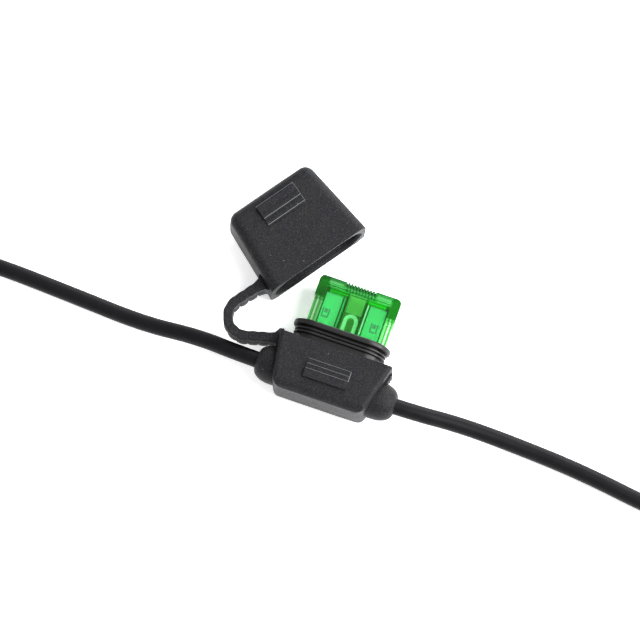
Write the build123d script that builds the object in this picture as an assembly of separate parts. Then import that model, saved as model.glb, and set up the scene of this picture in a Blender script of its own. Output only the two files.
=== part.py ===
from build123d import *
import math
import os

# Inline holder for one blade fuse, lying on its broad side, in millimetres.
# X runs along the two leads, Y is the way the fuse pulls out, Z is up from the floor.
# The origin is on the lead axis, at the crest of the grip pad that the holder lies on.

# Overmoulded holder body
BODY_THICKNESS = 13.0
SHOULDER_Y = 7.0
SHOULDER_HALF_WIDTH = 13.3
BODY_BOTTOM_Y = -5.4
BODY_SIDE_TAPERS = {"left": 10.0, "right": 14.0}
BODY_CORNER_RADIUS = 2.4
BODY_RIM_ROUND = 1.0
BODY_BOTTOM_ROUND = 2.2
MOULD_DRAFT = 1.0

# Stepped grip pad, one on each broad face of the body and of the cap
PAD_LENGTH = 10.0
PAD_STEP_RISE = 0.3
PAD_STEPS = 3
BODY_PAD_CREST_Y = -1.6
BODY_PAD_CREST_DEPTH = 2.0
BODY_PAD_STEP_DEPTH = 1.2
CAP_PAD_CREST_Y = 17.25
CAP_PAD_CREST_DEPTH = 1.65
CAP_PAD_STEP_DEPTH = 1.65

# Heights that follow from lying on the pad
PAD_HEIGHT = PAD_STEPS * PAD_STEP_RISE
MID_Z = PAD_HEIGHT + BODY_THICKNESS / 2

# Domed boss round each lead
BOSS_RADIUS = 4.35
BOSS_TIP_X = 16.3
BOSS_DOME_LENGTH = 4.0
BOSS_ROOT_X = 9.5

# Ribbed gate patch on the right wall, where the left one has the strap
GATE_Y = 5.0
GATE_LENGTH = 2.8
GATE_HEIGHT = 5.2
GATE_PROUD = 0.3
GATE_RIBS = 4

# Leads: stranded copper core in a plastic jacket
JACKET_DIAMETER = 3.7
CORE_DIAMETER = 2.35
JACKET_START_X = 11.2
CORE_START_X = 8.4
STRIPPED_LENGTH = 7.0
SPREAD_START = 0.3
STRAND_SPREAD = 0.2
MOULDED_CLEARANCE = 0.01

# Hard socket core with the collar that the cap seals on
NECK_HALF_WIDTH = 9.95
NECK_HALF_THICKNESS = 3.9
NECK_END_RADIUS = 3.8
NECK_BOTTOM_Y = -2.6
COLLAR_TOP_Y = 11.6
LIP_PROUD = 1.4
LIP_HEIGHT = 1.35
SEAL_RIB_PROUD = 0.8
SEAL_RIB_HEIGHT = 0.6
SEAL_RIB_PITCH = 0.85
SEAL_RIB_COUNT = 2
RIB_SOFTENING = 0.42

# Blade fuse, regular size
FUSE_CENTRE_X = 0.6
FUSE_WIDTH = 19.1
FUSE_TOP_Y = 22.9
FUSE_HEAD_THICKNESS = 5.1
FUSE_LOBE_WIDTH = 2.1
FUSE_LOBE_LENGTHS = {"left": 4.9, "right": 5.9}
FUSE_RIB_WIDTH = 0.5
FUSE_RIB_CLEARANCE = 0.1
FUSE_BODY_WIDTH = 18.7
FUSE_BODY_THICKNESS = 3.9
FUSE_HOUSING_HEIGHT = 12.3
FUSE_LENGTH = 18.9
FUSE_CORNER_RADIUS = 1.1
FUSE_TOP_WALL = 1.7
FUSE_CHANNEL_WIDTH = 3.8
FUSE_CHANNEL_DEPTH = 0.55
FUSE_WINDOW_HEIGHT = 1.1
FUSE_WINDOW_DEPTH = 0.5
FUSE_NOTCH_COUNT = 10
FUSE_NOTCH_PITCH = 0.72
FUSE_NOTCH_WIDTH = 0.3
FUSE_NOTCH_DEPTH = 0.35
FUSE_SLOT_CLEARANCE = 0.08
BLADE_WIDTH = 5.2
BLADE_THICKNESS = 0.65
BLADE_CENTRE_X = 4.65
BLADE_TIP_CHAMFER = 0.8
LINK_WIDTH = 0.8
LINK_THICKNESS = 0.3
LINK_ARCH_RADIUS = 1.25
LINK_RISE = 3.6
STAKE_WIDTH = 1.5
STAKE_LENGTH = 1.9
STAKE_ABOVE_HOUSING = 2.4

# Receptacle terminals
TERMINAL_SHEET = 0.35
TERMINAL_WIDTH = 6.4
TERMINAL_BOTTOM_Y = 2.4
TERMINAL_TOP_Y = 10.0
TERMINAL_CURL_RADIUS = 0.85
BLADE_CLEARANCE = 0.03
BARREL_END_X = 10.6
BARREL_START_X = 7.4
BARREL_SEAM = 0.4
TAIL_INNER_X = 3.8
TAIL_HALF_DEPTH = 1.2
CAVITY_CLEARANCE = 0.25
POCKET_CLEARANCE = 0.1

# Cap, built mouth down the -Y axis of its own frame
CAP_DEPTH = 19.7
CAP_FIT = 0.3
CAP_LEAD_IN = 0.3
CAP_MOUTH_WALL = 1.3
CAP_SIDE_TAPERS = {"left": 4.5, "right": 6.8}
CAP_CORNER_RADIUS = 2.4
CAP_RIM_ROUND = 2.2
CAP_END_WALL = 1.3
CAP_SIDE_WALL = 0.9
CAP_CAVITY_END_HALF_THICKNESS = 4.7
CAP_CAVITY_END_RADIUS = 2.4
CAP_SWING = 54.6
CAP_MOUTH_X = -10.67
CAP_MOUTH_Y = 25.54

# Rubber strap between the body and the cap
STRAP_THICKNESS = 2.1
STRAP_HEIGHT = 5.2
STRAP_ROOT_Y = 5.9
STRAP_ROOT_ANGLE = 194.5
STRAP_ROOT_RUN = 7.4
STRAP_BEND_RADIUS = 4.5
STRAP_NOTCH_PITCH = 2.35
STRAP_NOTCH_WIDTH = 0.45
STRAP_NOTCH_DEPTH = 0.6
STRAP_GAP = 0.12
STRAP_STUB_LENGTH = 1.1
STRAP_STUB_FLARE = 2.2
STRAP_END_INSET = 3.1

# Route of each lead, as points of its centreline from the crimp to the bare end
JACKET_Z = JACKET_DIAMETER / 2
LEFT_ROUTE = [
    (-JACKET_START_X, 0, MID_Z),
    (-20, 0, MID_Z),
    (-31, 1.3, 4.2),
    (-43.5, 0.6, JACKET_Z),
    (-61, 1.6, JACKET_Z),
    (-80, 2.5, JACKET_Z),
    (-98, 1.6, JACKET_Z),
    (-113, 9.2, JACKET_Z),
    (-121, 24.4, JACKET_Z),
    (-121, 41.5, JACKET_Z),
    (-114.5, 57.3, JACKET_Z),
]
RIGHT_ROUTE = [
    (JACKET_START_X, 0, MID_Z),
    (20, 0, MID_Z),
    (31, 1.5, 4.2),
    (44, 1.7, JACKET_Z),
    (60.5, 0.7, JACKET_Z),
    (79, -2.0, JACKET_Z),
    (97, -2.5, JACKET_Z),
    (112, 5.4, JACKET_Z),
    (120.5, 20.6, JACKET_Z),
    (120.5, 37.8, JACKET_Z),
    (114.5, 54.5, JACKET_Z),
]

SIDES = {"left": -1, "right": 1}

# Sizes that follow from the ones above
LIP_HALF_WIDTH = NECK_HALF_WIDTH + LIP_PROUD
CRIMPED_RADIUS = CORE_DIAMETER / 2 - STRAND_SPREAD
CAP_MOUTH_HALF_WIDTH = LIP_HALF_WIDTH + CAP_FIT + CAP_MOUTH_WALL
CAP_LIFT = math.degrees(math.atan(PAD_HEIGHT / (CAP_PAD_CREST_Y - CAP_PAD_CREST_DEPTH)))
FUSE_HOUSING_BOTTOM_Y = FUSE_TOP_Y - FUSE_HOUSING_HEIGHT
FUSE_WINDOW_TOP_Y = FUSE_TOP_Y - FUSE_TOP_WALL
BLADE_TOP_Y = FUSE_WINDOW_TOP_Y - FUSE_WINDOW_HEIGHT
LINK_TOP_Y = FUSE_HOUSING_BOTTOM_Y + 1.5 * LINK_WIDTH + LINK_RISE + LINK_ARCH_RADIUS


def plan_prism(points, low, high):
    """A prism over a plan outline, from one height to another."""
    outline = Polyline(*points, close=True)
    return extrude(make_face(outline), high - low).moved(Location((0, 0, low)))


def oval(half_width, half_thickness, radius, y):
    """A rounded rectangle across the fuse's way, at one Y."""
    plane = Plane(origin=(0, y, MID_Z), x_dir=(1, 0, 0), z_dir=(0, 1, 0))
    return plane * RectangleRounded(2 * half_width, 2 * half_thickness, radius)


def ring(half_width, half_thickness, radius, low, high):
    """An oval block round the fuse's way, from one Y to another."""
    return extrude(oval(half_width, half_thickness, radius, low), high - low)


def block(x_low, x_high, y_low, y_high, half_thickness):
    """A box centred on the lead axis in height."""
    size = (x_high - x_low, y_high - y_low, 2 * half_thickness)
    middle = ((x_low + x_high) / 2, (y_low + y_high) / 2, MID_Z)
    return Location(middle) * Box(*size)


def lead_rod(radius, start, end):
    """A rod on the lead axis, from one X to another."""
    plane = Plane(origin=(start, 0, MID_Z), z_dir=(math.copysign(1, end - start), 0, 0))
    return extrude(plane * Circle(radius), abs(end - start))


def grip_pad(crest, crest_depth, step_depth):
    """Stair steps on z = 0: the crest begins at one Y and the lower steps lie to its +Y side."""
    treads = []
    for step in range(PAD_STEPS):
        depth = crest_depth + step * step_depth
        height = PAD_STEP_RISE * (PAD_STEPS - step + 1)
        tread = Box(PAD_LENGTH, depth, height, align=(Align.CENTER, Align.MIN, Align.MIN))
        treads.append(Location((0, crest, -PAD_STEP_RISE)) * tread)
    return treads[0] + treads[1:]


def on_both_faces(upper, half_thickness):
    """A raised part on the upper broad face and its mirror image on the lower one."""
    raised = Location((0, 0, half_thickness)) * upper
    return [raised, mirror(raised, Plane.XY)]


def tapered_slab(half_width, tapers, length, corner_radius, rim_radius):
    """A slab from y = 0 to one length, narrowing along it, with rounded rims but for the near ones."""
    half = BODY_THICKNESS / 2
    overrun = 2 * rim_radius
    reach = length + overrun
    lean = {name: math.tan(math.radians(tapers[name])) for name in SIDES}
    outline = [
        (-half_width - overrun * lean["left"], -overrun),
        (half_width + overrun * lean["right"], -overrun),
        (half_width - length * lean["right"], length),
        (-half_width + length * lean["left"], length),
    ]
    plan = make_face(Polyline(*outline, close=True))
    plan = fillet(plan.vertices().sort_by(Axis.Y)[-2:], corner_radius)
    upper = extrude(plan, half, taper=MOULD_DRAFT)
    slab = upper + mirror(upper, Plane.XY)
    slab -= Location((0, -reach, 0)) * Box(8 * half_width, 2 * reach, 4 * half)
    rims = slab.edges().filter_by(lambda edge: abs(edge.center().Z) > half - 0.01 and edge.center().Y > 0.01)
    return fillet(rims, rim_radius)


def body_shell():
    """The body's outer form, centred on z = 0, without its bosses."""
    depth = SHOULDER_Y - BODY_BOTTOM_Y
    hanging = mirror(
        tapered_slab(SHOULDER_HALF_WIDTH, BODY_SIDE_TAPERS, depth, BODY_CORNER_RADIUS, BODY_RIM_ROUND), Plane.XZ
    )
    roller = Box(4 * SHOULDER_HALF_WIDTH, 2 * depth, BODY_THICKNESS)
    roller = fillet(roller.edges().filter_by(Axis.X).sort_by(Axis.Y)[:2], BODY_BOTTOM_ROUND)
    return hanging.moved(Location((0, SHOULDER_Y, 0))) & roller.moved(Location((0, SHOULDER_Y, 0)))


def side_wall(name, y):
    """The frame on one of the body's side walls, with +X out of the wall."""
    taper = BODY_SIDE_TAPERS[name]
    out = SHOULDER_HALF_WIDTH - (SHOULDER_Y - y) * math.tan(math.radians(taper))
    turn = -taper if name == "right" else 180 + taper
    return Location((SIDES[name] * out, y, MID_Z)) * Rotation(0, 0, turn)


def gate_patch():
    """A small ribbed patch that stands on the right wall."""
    pitch = GATE_LENGTH / GATE_RIBS
    patch = Box(2 * GATE_PROUD, GATE_LENGTH, GATE_HEIGHT)
    for rib in range(GATE_RIBS):
        y = (rib - (GATE_RIBS - 1) / 2) * pitch
        patch += Location((GATE_PROUD, y, 0)) * Box(GATE_PROUD, pitch / 2, GATE_HEIGHT)
    return side_wall("right", GATE_Y) * patch


def boss(side):
    """One domed boss, turned about the lead axis."""
    dome_start = BOSS_TIP_X - BOSS_DOME_LENGTH
    rim = JACKET_DIAMETER / 2
    profile = Polyline(
        (BOSS_TIP_X, rim), (BOSS_TIP_X, 0), (BOSS_ROOT_X, 0), (BOSS_ROOT_X, BOSS_RADIUS), (dome_start, BOSS_RADIUS)
    )
    dome = EllipticalCenterArc(
        (dome_start, rim),
        BOSS_DOME_LENGTH,
        BOSS_RADIUS - rim,
        start_angle=0,
        arc_size=90,
    )
    turned = revolve(make_face(profile + dome), Axis.X)
    if side < 0:
        turned = mirror(turned, Plane.YZ)
    return turned.moved(Location((0, 0, MID_Z)))


def strap_lug(width_at_root):
    """A flared stub that stands along +X, where the strap leaves a wall."""
    outline = [
        (-1, -width_at_root / 2),
        (0, -width_at_root / 2),
        (STRAP_STUB_LENGTH, -STRAP_THICKNESS / 2),
        (STRAP_STUB_LENGTH, STRAP_THICKNESS / 2),
        (0, width_at_root / 2),
        (-1, width_at_root / 2),
    ]
    return plan_prism(outline, -STRAP_HEIGHT / 2, STRAP_HEIGHT / 2)


def socket_core_outer():
    """The hard core's outer form: an oval neck with a lip and sealing ribs below it."""
    neck = ring(NECK_HALF_WIDTH, NECK_HALF_THICKNESS, NECK_END_RADIUS, NECK_BOTTOM_Y, COLLAR_TOP_Y)
    first_rib = COLLAR_TOP_Y - LIP_HEIGHT - SEAL_RIB_PITCH
    bands = [(LIP_PROUD, COLLAR_TOP_Y - LIP_HEIGHT, LIP_HEIGHT, RIB_SOFTENING)]
    for rib in range(SEAL_RIB_COUNT):
        low = first_rib - rib * SEAL_RIB_PITCH
        bands.append((SEAL_RIB_PROUD, low, SEAL_RIB_HEIGHT, RIB_SOFTENING / 2))
    for proud, low, height, softening in bands:
        half_width, half_thickness = NECK_HALF_WIDTH + proud, NECK_HALF_THICKNESS + proud
        band = ring(half_width, half_thickness, NECK_END_RADIUS + proud, low, low + height)
        rims = band.edges().group_by(Axis.Y)
        neck += fillet(rims[0] + rims[-1], softening)
    return neck


def terminal_cavities():
    """The room inside the core for the two terminals."""
    half_width = TERMINAL_WIDTH / 2 + CAVITY_CLEARANCE
    half_depth = BLADE_THICKNESS / 2 + TERMINAL_SHEET + 2 * TERMINAL_CURL_RADIUS
    low = TERMINAL_BOTTOM_Y - CAVITY_CLEARANCE
    rooms = []
    for side in SIDES.values():
        middle = FUSE_CENTRE_X + side * BLADE_CENTRE_X
        rooms.append(block(middle - half_width, middle + half_width, low, COLLAR_TOP_Y, half_depth))
        inner = FUSE_CENTRE_X + side * (TAIL_INNER_X - CAVITY_CLEARANCE)
        low_x, high_x = sorted((inner, side * (NECK_HALF_WIDTH + 1)))
        half_room = JACKET_DIAMETER / 2
        rooms.append(block(low_x, high_x, -half_room, TERMINAL_BOTTOM_Y, half_room))
    return rooms


def make_socket_core():
    """The hard inner moulding that holds the terminals and carries the collar."""
    pocket = block(
        FUSE_CENTRE_X - FUSE_BODY_WIDTH / 2 - POCKET_CLEARANCE,
        FUSE_CENTRE_X + FUSE_BODY_WIDTH / 2 + POCKET_CLEARANCE,
        FUSE_HOUSING_BOTTOM_Y - POCKET_CLEARANCE,
        COLLAR_TOP_Y + 1,
        FUSE_BODY_THICKNESS / 2 + POCKET_CLEARANCE,
    )
    return socket_core_outer() - terminal_cavities() - pocket


def make_holder_body():
    """The soft overmould: body, lead bosses, grip pads and the strap's root."""
    pad = grip_pad(BODY_PAD_CREST_Y, BODY_PAD_CREST_DEPTH, BODY_PAD_STEP_DEPTH)
    body = body_shell() + on_both_faces(pad, BODY_THICKNESS / 2)
    body = body.moved(Location((0, 0, MID_Z)))
    for side in SIDES.values():
        body += boss(side)
    body += strap_root() * strap_lug(STRAP_THICKNESS + STRAP_STUB_FLARE)
    body += gate_patch()
    body -= ring(
        NECK_HALF_WIDTH + MOULDED_CLEARANCE,
        NECK_HALF_THICKNESS + MOULDED_CLEARANCE,
        NECK_END_RADIUS + MOULDED_CLEARANCE,
        NECK_BOTTOM_Y - MOULDED_CLEARANCE,
        SHOULDER_Y + 1,
    )
    for side in SIDES.values():
        body -= lead_rod(JACKET_DIAMETER / 2 + MOULDED_CLEARANCE, side * BOSS_ROOT_X, side * (BOSS_TIP_X + 1))
    return body


def make_terminal(side):
    """One receptacle with a crimp barrel at its side, pressed from one sheet."""
    under = MID_Z - BLADE_THICKNESS / 2 - BLADE_CLEARANCE
    low = under - TERMINAL_SHEET
    half = TERMINAL_WIDTH / 2
    centre = BLADE_CENTRE_X
    outline = [
        (centre - half + TERMINAL_CURL_RADIUS, TERMINAL_TOP_Y),
        (centre - half + TERMINAL_CURL_RADIUS, TERMINAL_BOTTOM_Y),
        (TAIL_INNER_X, TERMINAL_BOTTOM_Y),
        (TAIL_INNER_X, -TAIL_HALF_DEPTH),
        (BARREL_START_X + TERMINAL_SHEET, -TAIL_HALF_DEPTH),
        (BARREL_START_X + TERMINAL_SHEET, TERMINAL_BOTTOM_Y),
        (centre + half - TERMINAL_CURL_RADIUS, TERMINAL_BOTTOM_Y),
        (centre + half - TERMINAL_CURL_RADIUS, TERMINAL_TOP_Y),
    ]
    sheet = plan_prism(outline, low, under)
    end_plane = Plane(origin=(0, TERMINAL_TOP_Y, 0), x_dir=(1, 0, 0), z_dir=(0, -1, 0))
    for edge in (-1, 1):
        roll = centre + edge * (half - TERMINAL_CURL_RADIUS)
        middle = low + TERMINAL_CURL_RADIUS
        curl = Circle(TERMINAL_CURL_RADIUS) - Circle(TERMINAL_CURL_RADIUS - TERMINAL_SHEET)
        sheet += extrude(end_plane * Location((roll, middle)) * curl, TERMINAL_TOP_Y - TERMINAL_BOTTOM_Y)
    sheet -= block(
        centre - BLADE_WIDTH / 2 - BLADE_CLEARANCE,
        centre + BLADE_WIDTH / 2 + BLADE_CLEARANCE,
        TERMINAL_BOTTOM_Y + TERMINAL_SHEET,
        TERMINAL_TOP_Y + 1,
        BLADE_THICKNESS / 2 + BLADE_CLEARANCE,
    )
    barrel_outer = CRIMPED_RADIUS + MOULDED_CLEARANCE + TERMINAL_SHEET
    barrel = lead_rod(barrel_outer, BARREL_START_X, BARREL_END_X)
    barrel -= lead_rod(barrel_outer - TERMINAL_SHEET, BARREL_START_X - 1, BARREL_END_X + 1)
    seam = Location(((BARREL_START_X + BARREL_END_X) / 2, 0, MID_Z + barrel_outer)) * Box(
        BARREL_END_X - BARREL_START_X + 1, BARREL_SEAM, barrel_outer
    )
    terminal = sheet + (barrel - seam)
    if side < 0:
        terminal = mirror(terminal, Plane.YZ)
    return terminal.moved(Location((FUSE_CENTRE_X, 0, 0)))


def bend_radii(route):
    """The radius of the arc at each inner point of a lead's route."""
    points = [Vector(*point) for point in route]
    radii = []
    for before, here, after in zip(points, points[1:], points[2:]):
        turn = (here - before).get_angle(after - here)
        shorter = min((here - before).length, (after - here).length)
        radii.append(0.45 * shorter / math.tan(math.radians(turn) / 2))
    return radii


def swept(route, radii, section):
    """A cross-section along straight runs that are joined by tangent arcs."""
    path = FilletPolyline(*route, radius=radii)
    return sweep(Plane(origin=path @ 0, z_dir=path % 0) * section, path=path), path.length


def make_lead(side_name, route):
    """The jacket and the copper core of one lead."""
    last, before = Vector(*route[-1]), Vector(*route[-2])
    jacket_end = last - (last - before).normalized() * STRIPPED_LENGTH
    jacket_route = route[:-1] + [tuple(jacket_end)]
    radii = bend_radii(jacket_route)
    tube = Circle(JACKET_DIAMETER / 2) - Circle(CRIMPED_RADIUS + MOULDED_CLEARANCE)
    jacket, jacket_length = swept(jacket_route, radii, tube)
    core_route = [(SIDES[side_name] * CORE_START_X, 0, MID_Z)] + route[1:]
    core, core_length = swept(core_route, radii, Circle(CRIMPED_RADIUS))
    outwards = (last - before).normalized()
    bare = Plane(origin=jacket_end + outwards * SPREAD_START, z_dir=outwards) * Circle(CORE_DIAMETER / 2)
    core += extrude(bare, STRIPPED_LENGTH - SPREAD_START)
    share = jacket.volume / (tube.area * jacket_length)
    free = core_length - (BOSS_TIP_X - CORE_START_X)
    print(f"lead_{side_name}: {free:.1f} mm from the boss, jacket volume over section x length {share:.4f}")
    print(f"lead_{side_name} arc radii:", " ".join(f"{radius:.0f}" for radius in radii))
    return jacket, core


def make_fuse_housing():
    """The clear housing: a plate with a thicker top bar, two side lobes and two ribs."""
    half_width = FUSE_WIDTH / 2
    half_head = FUSE_HEAD_THICKNESS / 2
    half_body = FUSE_BODY_THICKNESS / 2
    bottom = FUSE_HOUSING_BOTTOM_Y
    top_bar = block(-half_width, half_width, FUSE_WINDOW_TOP_Y, FUSE_TOP_Y, half_head)
    top_bar = fillet(top_bar.edges().filter_by(Axis.Z).sort_by(Axis.Y)[-2:], FUSE_CORNER_RADIUS)
    inside_bar = FUSE_TOP_Y - FUSE_TOP_WALL / 2
    housing = top_bar + block(-FUSE_BODY_WIDTH / 2, FUSE_BODY_WIDTH / 2, bottom, inside_bar, half_body)
    channel = FUSE_CHANNEL_WIDTH / 2
    rib_low = COLLAR_TOP_Y + FUSE_RIB_CLEARANCE
    for name, side in SIDES.items():
        low_x, high_x = sorted((side * half_width, side * (half_width - FUSE_LOBE_WIDTH)))
        housing += block(low_x, high_x, FUSE_TOP_Y - FUSE_LOBE_LENGTHS[name], inside_bar, half_head)
        low_x, high_x = sorted((side * channel, side * (channel + FUSE_RIB_WIDTH)))
        housing += block(low_x, high_x, rib_low, inside_bar, half_head)
    slot_half = BLADE_THICKNESS / 2 + FUSE_SLOT_CLEARANCE
    for side in SIDES.values():
        middle = side * BLADE_CENTRE_X
        half_slot = BLADE_WIDTH / 2 + FUSE_SLOT_CLEARANCE
        slot_top = BLADE_TOP_Y + FUSE_SLOT_CLEARANCE
        housing -= block(middle - half_slot, middle + half_slot, bottom - 1, slot_top, slot_half)
        low_x, high_x = sorted((side * (channel + FUSE_RIB_WIDTH), side * (half_width - FUSE_LOBE_WIDTH)))
        for face in (-1, 1):
            window = block(low_x, high_x, BLADE_TOP_Y, FUSE_WINDOW_TOP_Y, FUSE_WINDOW_DEPTH)
            housing -= window.moved(Location((0, 0, face * half_body)))
    gap = BLADE_CENTRE_X - BLADE_WIDTH / 2
    housing -= block(-gap, gap, bottom - 1, LINK_TOP_Y + FUSE_SLOT_CLEARANCE, slot_half)
    for face in (-1, 1):
        trough = block(-channel, channel, bottom - 1, FUSE_WINDOW_TOP_Y, FUSE_CHANNEL_DEPTH)
        housing -= trough.moved(Location((0, 0, face * half_body)))
    first = -FUSE_NOTCH_PITCH * (FUSE_NOTCH_COUNT - 1) / 2
    for notch in range(FUSE_NOTCH_COUNT):
        left = first + notch * FUSE_NOTCH_PITCH - FUSE_NOTCH_WIDTH / 2
        low = FUSE_TOP_Y - FUSE_NOTCH_DEPTH
        housing -= block(left, left + FUSE_NOTCH_WIDTH, low, FUSE_TOP_Y + 1, half_head + 1)
    return housing.moved(Location((FUSE_CENTRE_X, 0, 0)))


def make_fuse_element():
    """Two blades and the arched link between them, stamped as one piece."""
    tip = FUSE_TOP_Y - FUSE_LENGTH
    top = BLADE_TOP_Y
    bottom = FUSE_HOUSING_BOTTOM_Y
    element = None
    for side in SIDES.values():
        middle = side * BLADE_CENTRE_X
        half = BLADE_WIDTH / 2
        outline = [
            (middle - half, tip + BLADE_TIP_CHAMFER),
            (middle - half + BLADE_TIP_CHAMFER, tip),
            (middle + half - BLADE_TIP_CHAMFER, tip),
            (middle + half, tip + BLADE_TIP_CHAMFER),
            (middle + half, top),
            (middle - half, top),
        ]
        blade = plan_prism(outline, MID_Z - BLADE_THICKNESS / 2, MID_Z + BLADE_THICKNESS / 2)
        dimple = block(
            middle - STAKE_WIDTH / 2,
            middle + STAKE_WIDTH / 2,
            bottom + STAKE_ABOVE_HOUSING,
            bottom + STAKE_ABOVE_HOUSING + STAKE_LENGTH,
            BLADE_THICKNESS / 6,
        )
        blade -= dimple.moved(Location((0, 0, BLADE_THICKNESS / 2)))
        element = blade if element is None else element + blade
    foot = bottom + LINK_WIDTH
    arch = foot + LINK_RISE
    gap = BLADE_CENTRE_X - BLADE_WIDTH / 2
    leg = LINK_ARCH_RADIUS
    centreline = Polyline((-gap - 0.1, foot), (-leg, foot), (-leg, arch))
    centreline += CenterArc((0, arch), leg, 180, -180)
    centreline += Polyline((leg, arch), (leg, foot), (gap + 0.1, foot))
    strip = trace(centreline, LINK_WIDTH)
    link = extrude(strip, LINK_THICKNESS / 2, both=True).moved(Location((0, 0, MID_Z)))
    return (element + link).moved(Location((FUSE_CENTRE_X, 0, 0)))


def strap_end():
    """The frame on the cap's left side from which its strap stub leaves along +X."""
    across = CAP_MOUTH_HALF_WIDTH - STRAP_END_INSET * math.tan(math.radians(CAP_SIDE_TAPERS["left"]))
    return cap_place() * Location((-across, STRAP_END_INSET, 0)) * Rotation(0, 0, 180)


def mouth_section(y, widen):
    """An oval across the cap's way at one depth, wider all round than the collar's lip."""
    half_width = LIP_HALF_WIDTH + widen
    half_thickness = NECK_HALF_THICKNESS + LIP_PROUD + widen
    plane = Plane(origin=(0, y, 0), x_dir=(1, 0, 0), z_dir=(0, 1, 0))
    return plane * RectangleRounded(2 * half_width, 2 * half_thickness, NECK_END_RADIUS + LIP_PROUD + widen)


def cavity_end():
    """The rounded rectangle at the cavity's closed end, one wall inside each side."""
    depth = CAP_DEPTH - CAP_END_WALL
    edges = {}
    for name, side in SIDES.items():
        lean = math.tan(math.radians(CAP_SIDE_TAPERS[name]))
        edges[name] = side * (CAP_MOUTH_HALF_WIDTH - depth * lean - CAP_SIDE_WALL)
    middle = (edges["left"] + edges["right"]) / 2
    plane = Plane(origin=(middle, depth, 0), x_dir=(1, 0, 0), z_dir=(0, 1, 0))
    width = edges["right"] - edges["left"]
    return plane * RectangleRounded(width, 2 * CAP_CAVITY_END_HALF_THICKNESS, CAP_CAVITY_END_RADIUS)


def make_cap():
    """The cap, drawn mouth down at y = 0 and centred on z = 0, then put where it lies."""
    cap = tapered_slab(CAP_MOUTH_HALF_WIDTH, CAP_SIDE_TAPERS, CAP_DEPTH, CAP_CORNER_RADIUS, CAP_RIM_ROUND)
    stages = [
        mouth_section(0, CAP_FIT + CAP_LEAD_IN),
        mouth_section(2 * CAP_LEAD_IN, CAP_FIT),
        mouth_section(COLLAR_TOP_Y - SHOULDER_Y, CAP_FIT / 2),
        cavity_end(),
    ]
    for near, far in zip(stages, stages[1:]):
        cap -= loft([near, far], ruled=True)
    pad = mirror(grip_pad(-CAP_PAD_CREST_Y, CAP_PAD_CREST_DEPTH, CAP_PAD_STEP_DEPTH), Plane.XZ)
    cap += on_both_faces(pad, BODY_THICKNESS / 2)
    return cap_place() * cap + strap_end() * strap_lug(STRAP_THICKNESS + STRAP_STUB_FLARE)


def cap_place():
    """Where the cap lies: swung open, with its closed end lifted off the floor."""
    mouth_z = BODY_THICKNESS / 2 * math.cos(math.radians(CAP_LIFT))
    return Location((CAP_MOUTH_X, CAP_MOUTH_Y, mouth_z)) * Rotation(0, 0, CAP_SWING) * Rotation(CAP_LIFT, 0, 0)


def strap_root():
    """The frame on the body's left side from which the strap leaves along +X."""
    wall = side_wall("left", STRAP_ROOT_Y).position
    return Location(wall) * Rotation(0, 0, STRAP_ROOT_ANGLE)


def strap_centreline():
    """A run from the body, a bend and a run that ends square on the cap's side."""
    root = strap_root().position
    heading = Vector(1, 0, 0).rotate(Axis.Z, STRAP_ROOT_ANGLE)
    turn_start = root + heading * STRAP_ROOT_RUN
    centre = turn_start + heading.rotate(Axis.Z, -90) * STRAP_BEND_RADIUS
    target = strap_end().position
    target = Vector(target.X, target.Y, MID_Z)
    reach = (target - centre).length
    towards = (target - centre).normalized()
    leaving_angle = math.degrees(math.acos(STRAP_BEND_RADIUS / reach))
    turn_end = centre + towards.rotate(Axis.Z, leaving_angle) * STRAP_BEND_RADIUS
    leaving = (target - turn_end).normalized()
    start = root + heading * (STRAP_STUB_LENGTH + STRAP_GAP)
    end = target - leaving * (STRAP_STUB_LENGTH + STRAP_GAP)
    halfway = centre + (turn_start - centre + turn_end - centre).normalized() * STRAP_BEND_RADIUS
    bend = ThreePointArc(turn_start, halfway, turn_end)
    return Wire([Line(start, turn_start), bend, Line(turn_end, end)])


def make_strap():
    """The notched rubber strap between the body and the cap."""
    path = strap_centreline()
    heading = path % 0
    section = Plane(origin=path @ 0, x_dir=(0, 0, 1), z_dir=heading) * Rectangle(STRAP_HEIGHT, STRAP_THICKNESS)
    strap = sweep(section, path=path)
    count = int(path.length / STRAP_NOTCH_PITCH)
    for number in range(1, count):
        place = number * STRAP_NOTCH_PITCH / path.length
        at, along = path @ place, path % place
        plane = Plane(origin=at, x_dir=along, z_dir=(0, 0, 1))
        for edge in (-1, 1):
            notch = plane * Location((0, edge * STRAP_THICKNESS / 2, 0)) * Box(
                STRAP_NOTCH_WIDTH, 2 * STRAP_NOTCH_DEPTH, STRAP_HEIGHT + 1
            )
            strap -= notch
    print(f"tether_strap: {path.length:.1f} mm between its two roots")
    return strap


os.makedirs("parts", exist_ok=True)
pieces = {
    "holder_body": make_holder_body(),
    "socket_core": make_socket_core(),
    "fuse_housing": make_fuse_housing(),
    "fuse_element": make_fuse_element(),
    "cap": make_cap(),
    "tether_strap": make_strap(),
}
for name, side in SIDES.items():
    pieces[f"terminal_{name}"] = make_terminal(side)
    jacket, core = make_lead(name, LEFT_ROUTE if side < 0 else RIGHT_ROUTE)
    pieces[f"lead_{name}"] = jacket
    pieces[f"conductor_{name}"] = core
for name, piece in pieces.items():
    export_step(piece, f"parts/{name}.step")
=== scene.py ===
"""Looks of an inline blade fuse holder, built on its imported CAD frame.

Lengths are in metres. X runs along the leads, Y is the way the fuse pulls out and Z is up.
"""

import logging
import math
from dataclasses import dataclass, field
from enum import Enum
from typing import Iterable, Sequence, Union

import bpy
import numpy as np
from mathutils import Matrix

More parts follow.
